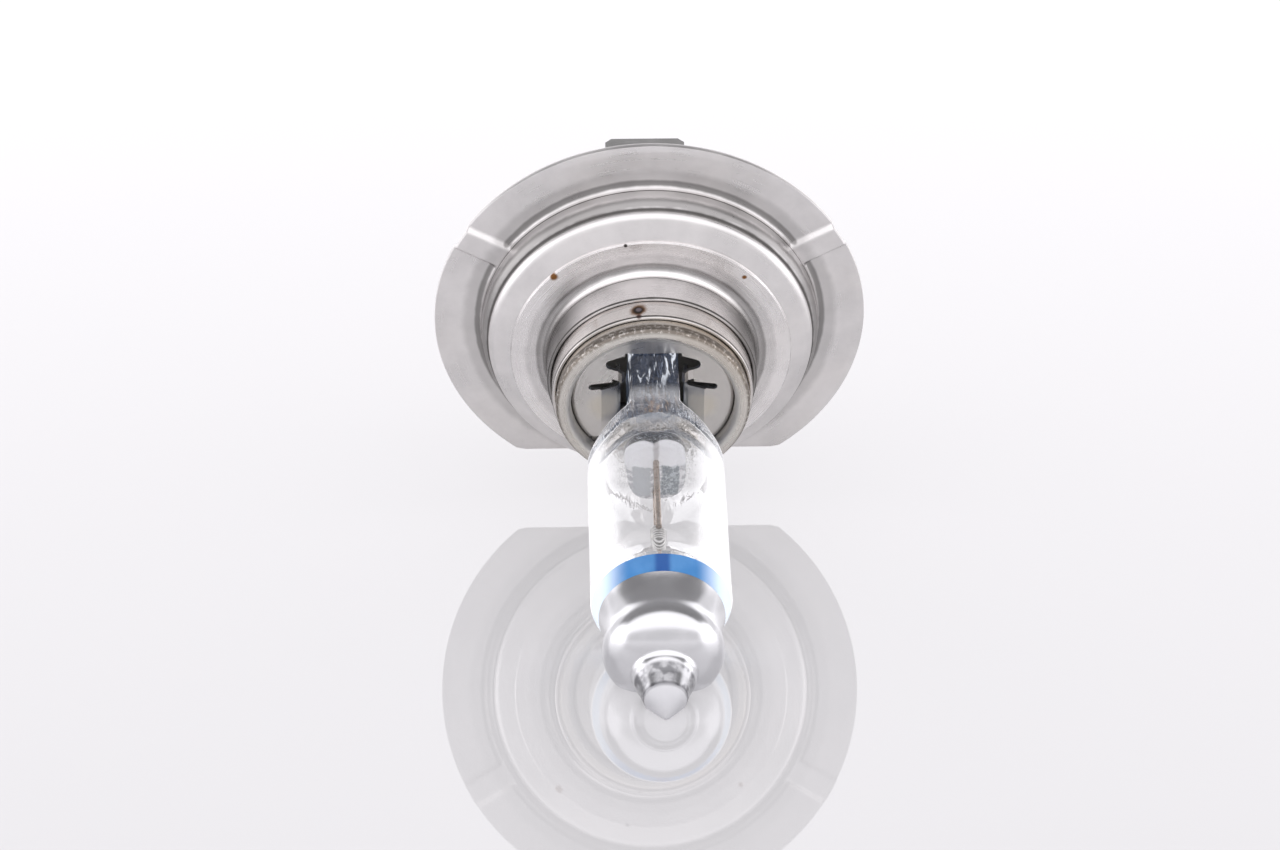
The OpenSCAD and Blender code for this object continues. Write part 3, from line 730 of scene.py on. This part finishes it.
def oval(half_x, half_y, power, z, sides, dent=0.0):
    """Ring of a rounded box: power 2 is an ellipse. dent pulls in the middle of its two flat sides."""
    ring = []
    for k in range(sides):
        a = TAU * (k + 0.5) / sides
        c, s = math.cos(a), math.sin(a)
        c = math.copysign(abs(c) ** (2 / power), c)
        s = math.copysign(abs(s) ** (2 / power), s)
        ring.append((half_x * c * (1 - dent * (1 - s * s)), half_y * s, z))
    return ring


def outside_path():
    """Outside of the dome, nipple and tip as (radius, z)."""
    dome = [(dome_r(z), z) for z in
            [DOME_START + (NIPPLE_Z - 0.05 - DOME_START) * k / 60 for k in range(61)]]
    tip = rounded([(NIPPLE_R, NIPPLE_Z), (NIPPLE_R - 0.15, NIPPLE_Z + 0.6), (NIPPLE_R - 0.5, NIPPLE_Z + 1.4),
                   (NECK_R, NECK_Z), (TIP_R, TIP_Z - TIP_R / 2)], 0.14, 8)
    return dome, tip


def burner():
    """Pinch, shoulders, tube, dome and tip, hollow inside. gap is the room under the coatings."""
    sides = 160
    gap = 0.012
    bm = bmesh.new()
    rings = []
    for k in range(24):
        z = PINCH_REAR + (PINCH_FRONT - PINCH_REAR) * k / 23
        edge = 1 - 0.12 * (1 - min(k / 1.0, 1.0))
        rings.append(oval(PINCH_T / 2 * edge, PINCH_W / 2 * edge, 7, z, sides, 0.2))
    for k in range(1, 41):
        u = k / 40
        z = PINCH_FRONT + (TUBE_START - PINCH_FRONT) * u
        e = ease(u)
        rings.append(oval(PINCH_T / 2 + (GLASS_R - gap - PINCH_T / 2) * e,
                          PINCH_W / 2 + (GLASS_R - gap - PINCH_W / 2) * e,
                          7 + (2 - 7) * math.sqrt(e), z, sides, 0.2 * (1 - e)))
    dome, tip = outside_path()
    for k in range(1, 12):
        z = TUBE_START + (DOME_START - TUBE_START) * k / 12
        rings.append(oval(GLASS_R - gap, GLASS_R - gap, 2, z, sides))
    for r, z in dome + tip:
        rings.append(oval(max(r - gap, 0.02), max(r - gap, 0.02), 2, z - gap, sides))
    skin(bm, rings)
    inner = []
    for k in range(11):
        a = math.radians(90 * k / 10)
        inner.append(oval(SEAL_X * math.sin(a) + 0.01, SEAL_Y * math.sin(a) + 0.01, 2.6,
                          CAVITY_BACK + 0.5 * (1 - math.cos(a)), sides))
    widen = CAVITY_MID - CAVITY_BACK - 0.5
    for k in range(1, 41):
        e = math.sin(math.radians(90 * k / 40))
        inner.append(oval(SEAL_X + 0.01 + (CAVITY_R - SEAL_X - 0.01) * e, SEAL_Y + 0.01
                          + (CAVITY_R - SEAL_Y - 0.01) * e, 2.6 - 0.6 * e,
                          CAVITY_BACK + 0.5 + widen * k / 40, sides))
    for k in range(1, 10):
        inner.append(oval(CAVITY_R, CAVITY_R, 2, CAVITY_MID + (CAVITY_TURN - CAVITY_MID) * k / 9, sides))
    for k in range(1, 33):
        a = math.radians(90 * k / 32)
        r = max(CAVITY_R * math.cos(a), 0.01)
        inner.append(oval(r, r, 2, CAVITY_TURN + (CAVITY_FRONT - CAVITY_TURN) * math.sin(a), sides))
    skin(bm, inner)
    piece = finish_glass("burner", bm)
    return fit(piece, glass, "clear_glass", "burner_glass")


def finish_glass(name, bm):
    """As finish_mesh, with the inner shell's normals turned into the gas space."""
    piece = finish_mesh(name, bm, 60)
    mesh = piece.data
    bm = bmesh.new()
    bm.from_mesh(mesh)
    bm.faces.ensure_lookup_table()
    seen = set()
    shells = []
    for face in bm.faces:
        if face.index in seen:
            continue
        stack, shell = [face], []
        seen.add(face.index)
        while stack:
            f = stack.pop()
            shell.append(f)
            for e in f.edges:
                for g in e.link_faces:
                    if g.index not in seen:
                        seen.add(g.index)
                        stack.append(g)
        shells.append(shell)
    shells.sort(key=len)
    outer = max(shells, key=lambda sh: max(f.calc_center_median().length for f in sh))
    for shell in shells:
        if shell is not outer:
            bmesh.ops.reverse_faces(bm, faces=shell)
    bm.to_mesh(mesh)
    bm.free()
    return piece


def seal():
    """Melted end of the pinch: a lobed plug in the back of the gas space, where the glass flowed round the
    leads. It is rolled a little, and notched between its two upper lobes."""
    half_x, half_y, squareness, edge, count = 2.25, 2.9, 0.6, 0.35, 96
    notch_depth, notch_half, lobe_rise, lobe_pitch = 0.5, 0.4, 0.12, 2.2
    roll = math.radians(4)
    cos_roll, sin_roll = math.cos(roll), math.sin(roll)
    profile = [(0.93, SEAL_BACK)]
    profile += [(1.0, SEAL_BACK + (SEAL_FRONT - edge - SEAL_BACK) * k / 8) for k in range(9)]
    for k in range(1, 7):
        a = math.radians(15 * k)
        profile.append((1 - 0.16 * (1 - math.cos(a)), SEAL_FRONT - edge * (1 - math.sin(a))))
    profile += [(0.84 * (1 - k / 20) + 0.01, SEAL_FRONT) for k in range(1, 21)]
    rows = []
    for share, z in profile:
        ring = []
        for j in range(count):
            c, q = math.cos(TAU * j / count), math.sin(TAU * j / count)
            x = half_x * math.copysign(abs(c) ** squareness, c)
            y = half_y * math.copysign(abs(q) ** squareness, q)
            y -= notch_depth * math.exp(-(x / notch_half) ** 2) * max(q, 0.0)
            x, y = share * x, share * y
            lobe = lobe_rise * share * math.cos(TAU * (x / lobe_pitch - 0.5)) if z == SEAL_FRONT else 0.0
            ring.append((x * cos_roll - y * sin_roll, x * sin_roll + y * cos_roll, z + lobe))
        rows.append(ring)
    bm = bmesh.new()
    skin(bm, rows)
    fit(finish_mesh("seal", bm, 50), seal_glass, "clear_glass")


def coatings():
    """Blue band and mirror cap, each a thin skin on the dome."""
    dome, tip = outside_path()
    t, length = COAT_T, MIRROR_START - 0.02 - BLUE_START
    span = [(dome_r(z), z) for z in [BLUE_START + length * k / 10 for k in range(11)]]
    fit(lathe("blue_ring", sheet(span, -t, 0.2), 200, 60), blue, "blue_coat", "blue_band")
    cap = [(dome_r(MIRROR_START), MIRROR_START)] + [p for p in dome if p[1] > MIRROR_START + 0.05] + tip
    cap += [(0.0, TIP_Z - TIP_R / 4)]
    m = mitres(cap)
    outer = [(max(p[0] - t * v[0], 0.0), p[1] - t * v[1]) for p, v in zip(cap, m)]
    fit(lathe("mirror_cap", cap + outer[::-1], 200, 60), silver, "mirror_coat", "silver_cap")


# ---- Filament and leads ----

LEAD_D, LEAD_Y = 0.45, 1.9
FOIL_FRONT, FOIL_LAP = 10.6, 0.9


def coil():
    """Wound wire on the axis."""
    steps = 28
    pitch = COIL_LEN / COIL_TURNS
    path = []
    for i in range(COIL_TURNS * steps + 1):
        a = math.radians(90 + 360 * i / steps)
        path.append((COIL_R * math.cos(a), COIL_R * math.sin(a), COIL_START + pitch * i / steps))
    fit(tube("coil", path, COIL_WIRE, 12), coil_metal, "tungsten", "filament")


def leads():
    """Near lead to the coil's back end, and far lead that passes under the coil to its front end."""
    top = COIL_R + COIL_WIRE / 2 + LEAD_D / 2
    short = rounded([(0, LEAD_Y, FOIL_FRONT - FOIL_LAP), (0, LEAD_Y, FOIL_FRONT + 0.8),
                     (0, top, FOIL_FRONT + 3.4), (0, top, COIL_START + 0.5)], 0.7)
    fit(tube("lead_near", short, LEAD_D), lead_metal, "lead_metal", "lead_short")
    far = COIL_START + COIL_LEN
    long = rounded([(0, -LEAD_Y, FOIL_FRONT - FOIL_LAP), (0, -LEAD_Y, COIL_START - 7),
                    (0, -3, COIL_START - 5), (0, -3, far + 1.4), (0, top, far + 1.4),
                    (0, top, far - 0.5)], 0.6)
    fit(tube("lead_far", long, LEAD_D), lead_metal, "lead_metal", "lead_long")


# ---- Cap rear ----

def rear():
    """Drawn can behind the flange."""
    lo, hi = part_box("rear_shell")
    shell_r, front_r, back, front = 10.6, hi.x / MM, -hi.y / MM, -lo.y / MM
    path = ([(8.95, back)] + arc((shell_r - 0.8, back + 0.8), 0.8, 270, 360, 14)
            + arc((shell_r + 0.5, -2.7), 0.5, 180, 90, 8)
            + arc((front_r - 0.6, -1.6), 0.6, 270, 360, 8) + [(front_r, front)])
    fit(lathe("shell", sheet(path, 0.35)), shell_metal, "flange_steel", "rear_shell")


flange()
adjusting_rings()
cup()
burner()
seal()
coatings()
coil()
leads()
rear()

for node, material in (("pinch_clip", clip_metal), ("foil_upper", lead_metal), ("foil_lower", lead_metal),
                       ("outer_lead_upper", lead_metal), ("outer_lead_lower", lead_metal),
                       ("terminal_upper", blade_metal), ("terminal_lower", blade_metal),
                       ("insulator", body_moulding)):
    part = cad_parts[node]
    part.data.materials.clear()
    part.data.materials.append(material)


# ---- Table, camera and light ----

def table():
    """Glossy white table, clear from below. It touches the flange's tab and the glass tip, so it slopes in
    this frame. Returns its upward normal."""
    heel = Vector((0, 0.5 * MM, -RIM_R * MM))
    toe = Vector((0, -TIP_Z * MM, -0.1 * MM))
    along = (toe - heel).normalized()
    normal = Vector((1, 0, 0)).cross(along)
    normal = normal if normal.z > 0 else -normal
    size, gap = 1.5, 0.02 * MM
    bm = bmesh.new()
    corners = [heel + Vector((sx * size, 0, 0)) + along * (sy * size) for sx, sy in
               ((-1, 1), (1, 1), (1, -1), (-1, -1))]
    face = bm.faces.new([bm.verts.new(c - normal * gap) for c in corners])
    bm.normal_update()
    if face.normal.dot(normal) < 0:
        bmesh.ops.reverse_faces(bm, faces=[face])
    mesh = bpy.data.meshes.new("table")
    bm.to_mesh(mesh)
    bm.free()
    top = bpy.data.objects.new("table", mesh)
    bpy.context.scene.collection.objects.link(top)
    s = Shader("table_top")
    s.set(Base_Color=(0.34, 0.335, 0.345, 1.0), Roughness=0.02, IOR=1.9,
          Emission_Color=(1.0, 0.985, 1.005, 1.0), Emission_Strength=0.34)
    clear = s.nodes.new("ShaderNodeBsdfTransparent")
    side = s.nodes.new("ShaderNodeNewGeometry")
    blend = s.nodes.new("ShaderNodeMixShader")
    s.links.new(side.outputs["Backfacing"], blend.inputs[0])
    s.links.new(s.bsdf.outputs[0], blend.inputs[1])
    s.links.new(clear.outputs[0], blend.inputs[2])
    s.links.new(blend.outputs[0], s.output.inputs["Surface"])
    mesh.materials.append(s.material)
    return normal


def camera():
    """Long lens, high in front of the bulb and looking down at it."""
    place_at = Vector((-8.2, -243.5, 196.7)) * MM
    pitch, yaw, roll = math.radians(40.35), math.radians(1.77), math.radians(0.55)
    cam = bpy.data.objects.new("camera", bpy.data.cameras.new("camera"))
    bpy.context.scene.collection.objects.link(cam)
    ahead = Vector((math.sin(yaw) * math.cos(pitch), math.cos(yaw) * math.cos(pitch), -math.sin(pitch)))
    level = Vector((math.cos(yaw), -math.sin(yaw), 0))
    upright = level.cross(ahead)
    right = level * math.cos(roll) + upright * math.sin(roll)
    up = upright * math.cos(roll) - level * math.sin(roll)
    cam.matrix_world = Matrix.Translation(place_at) @ Matrix((right, up, -ahead)).transposed().to_4x4()
    cam.data.lens = 113.6
    cam.data.clip_start = 0.01
    bpy.context.scene.camera = cam


def sky(normal):
    """Light tent: white behind, a dark gap overhead, a soft box in front of it, a soft box on each side, and
    dimmer corners low behind. normal is the table's."""
    world = bpy.data.worlds.new("tent")
    bpy.context.scene.world = world
    world.use_nodes = True
    nodes, links = world.node_tree.nodes, world.node_tree.links
    coord = nodes.new("ShaderNodeTexCoord").outputs["Generated"]
    right = Vector((1, 0, 0))
    front = right.cross(normal)

    def along(direction):
        """How far a direction of view goes along another."""
        dot = nodes.new("ShaderNodeVectorMath")
        dot.operation = "DOT_PRODUCT"
        links.new(coord, dot.inputs[0])
        dot.inputs[1].default_value = direction
        return dot.outputs["Value"]

    def maths(operation, a, b=None):
        made = nodes.new("ShaderNodeMath")
        made.operation = operation
        for key, value in enumerate((a, b)):
            if isinstance(value, float):
                made.inputs[key].default_value = value
            elif value is not None:
                links.new(value, made.inputs[key])
        return made.outputs[0]

    def paint(under, value, low, high, over):
        """Blends from under to over while value goes from low to high."""
        step = nodes.new("ShaderNodeMapRange")
        step.interpolation_type = "SMOOTHSTEP"
        links.new(value, step.inputs["Value"])
        step.inputs["From Min"].default_value = low
        step.inputs["From Max"].default_value = high
        mix = nodes.new("ShaderNodeMix")
        links.new(step.outputs["Result"], mix.inputs[0])
        links.new(under, mix.inputs[2])
        mix.inputs[3].default_value = over
        return mix.outputs[0]

    # Level at each tilt from the table's normal, in degrees towards the front.
    levels = ((-100, 1.55), (-64, 1.55), (-58, 1.1), (-50, 0.36), (-20, 0.3), (0, 0.25), (10, 1.45),
              (56, 1.45), (66, 0.8), (100, 0.8))
    full = 2.0
    tilt = maths("ARCTAN2", along(front), along(normal))
    ramp = nodes.new("ShaderNodeValToRGB")
    links.new(maths("ADD", maths("DIVIDE", tilt, TAU), 0.5), ramp.inputs[0])
    stops = ramp.color_ramp.elements
    for index, (degrees, level) in enumerate(levels):
        stop = stops[index] if index < 2 else stops.new(1.0)
        stop.position = 0.5 + degrees / 360
        stop.color = (level / full, level / full, level / full, 1)
    light = maths("MULTIPLY", ramp.outputs[0], full)
    light = paint(light, maths("ABSOLUTE", along(right)), 0.84, 0.95, full)
    corner_turn, corner_lift, corner_level = math.radians(52), math.radians(8), 0.95
    corner_edge, corner_core = math.cos(math.radians(20)), math.cos(math.radians(10))
    for hand in (-1, 1):
        outward = right * hand * math.sin(corner_turn) - front * math.cos(corner_turn)
        corner = outward * math.cos(corner_lift) + normal * math.sin(corner_lift)
        light = paint(light, along(corner), corner_edge, corner_core, corner_level)
    background = nodes["Background"]
    background.inputs["Color"].default_value = (1.0, 0.985, 1.01, 1.0)
    links.new(light, background.inputs["Strength"])


normal = table()
camera()
sky(normal)
bpy.context.scene.view_settings.view_transform = "Standard"
